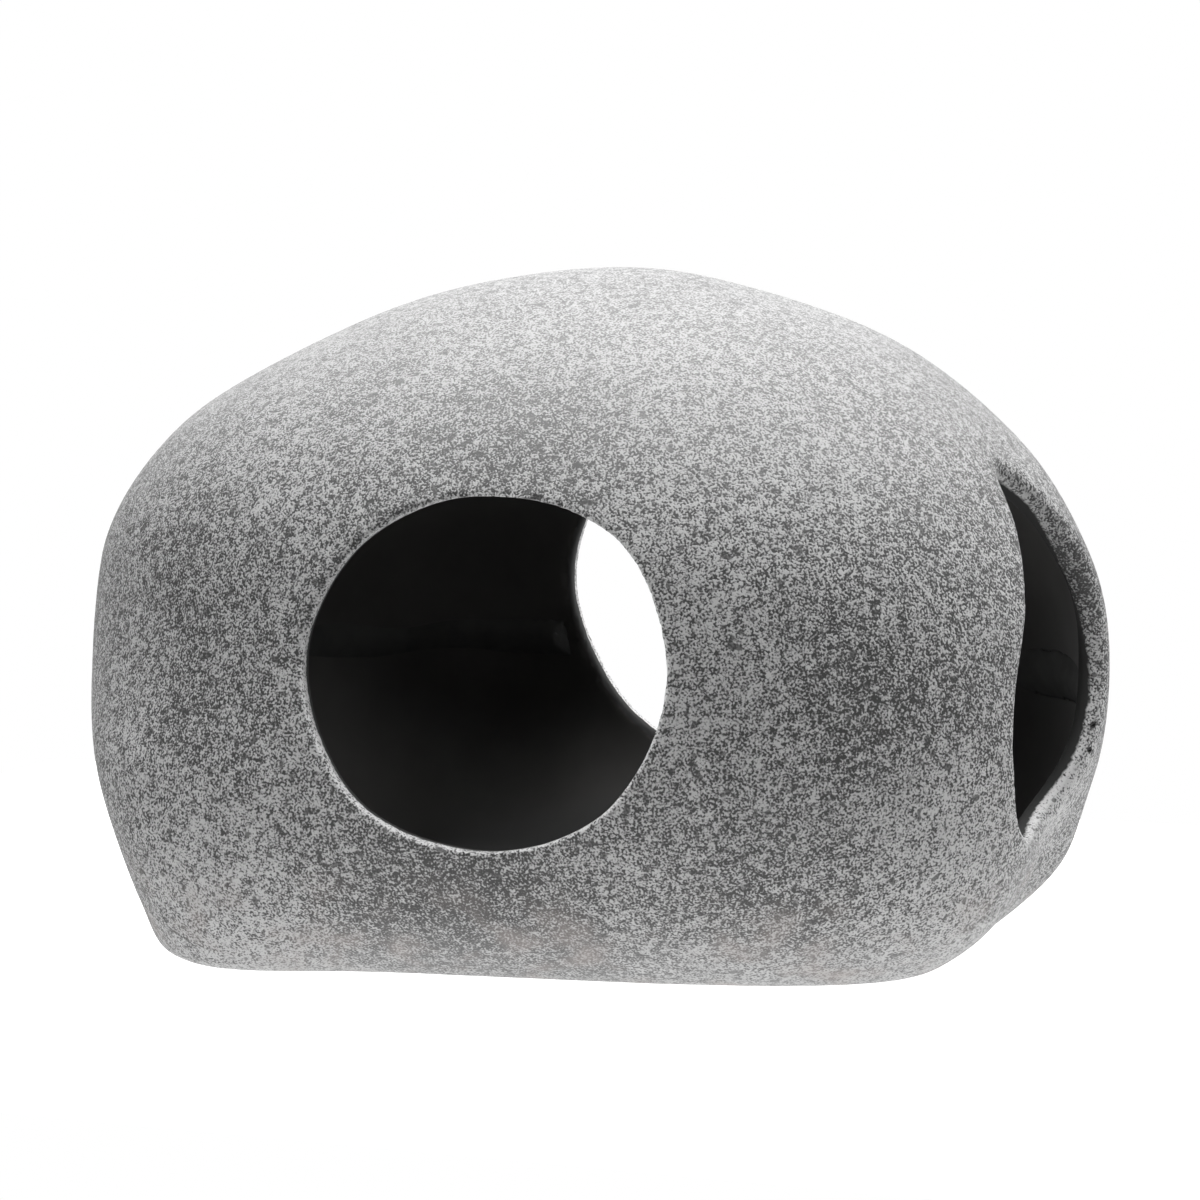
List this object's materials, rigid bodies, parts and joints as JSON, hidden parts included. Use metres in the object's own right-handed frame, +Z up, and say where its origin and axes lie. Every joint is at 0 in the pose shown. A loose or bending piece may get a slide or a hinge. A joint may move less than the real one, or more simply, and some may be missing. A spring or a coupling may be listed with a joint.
{
  "type": "aquarium cave ornament",
  "caption": "Hollow stone-shaped cave with a closed flat base and openings in its front, back and one end, for fish to shelter in.",
  "frame": {"origin": "on the flat base, under the middle of the bounding box", "axes": "+X along the cave to its end opening, -Y to the front with the smaller round opening, +Z up"},
  "size_m": [0.1578, 0.121, 0.1045],
  "materials": {
    "stone": "matte cast resin, speckled light and dark grey like granite outside, near black inside",
    "adhesive": "satin cured black epoxy"
  },
  "bodies": {
    "root": {"upper_shell": "stone", "lower_shell": "stone", "bond_bead_left": "adhesive", "bond_bead_front": "adhesive", "bond_bead_back": "adhesive"}
  },
  "joints": []
}
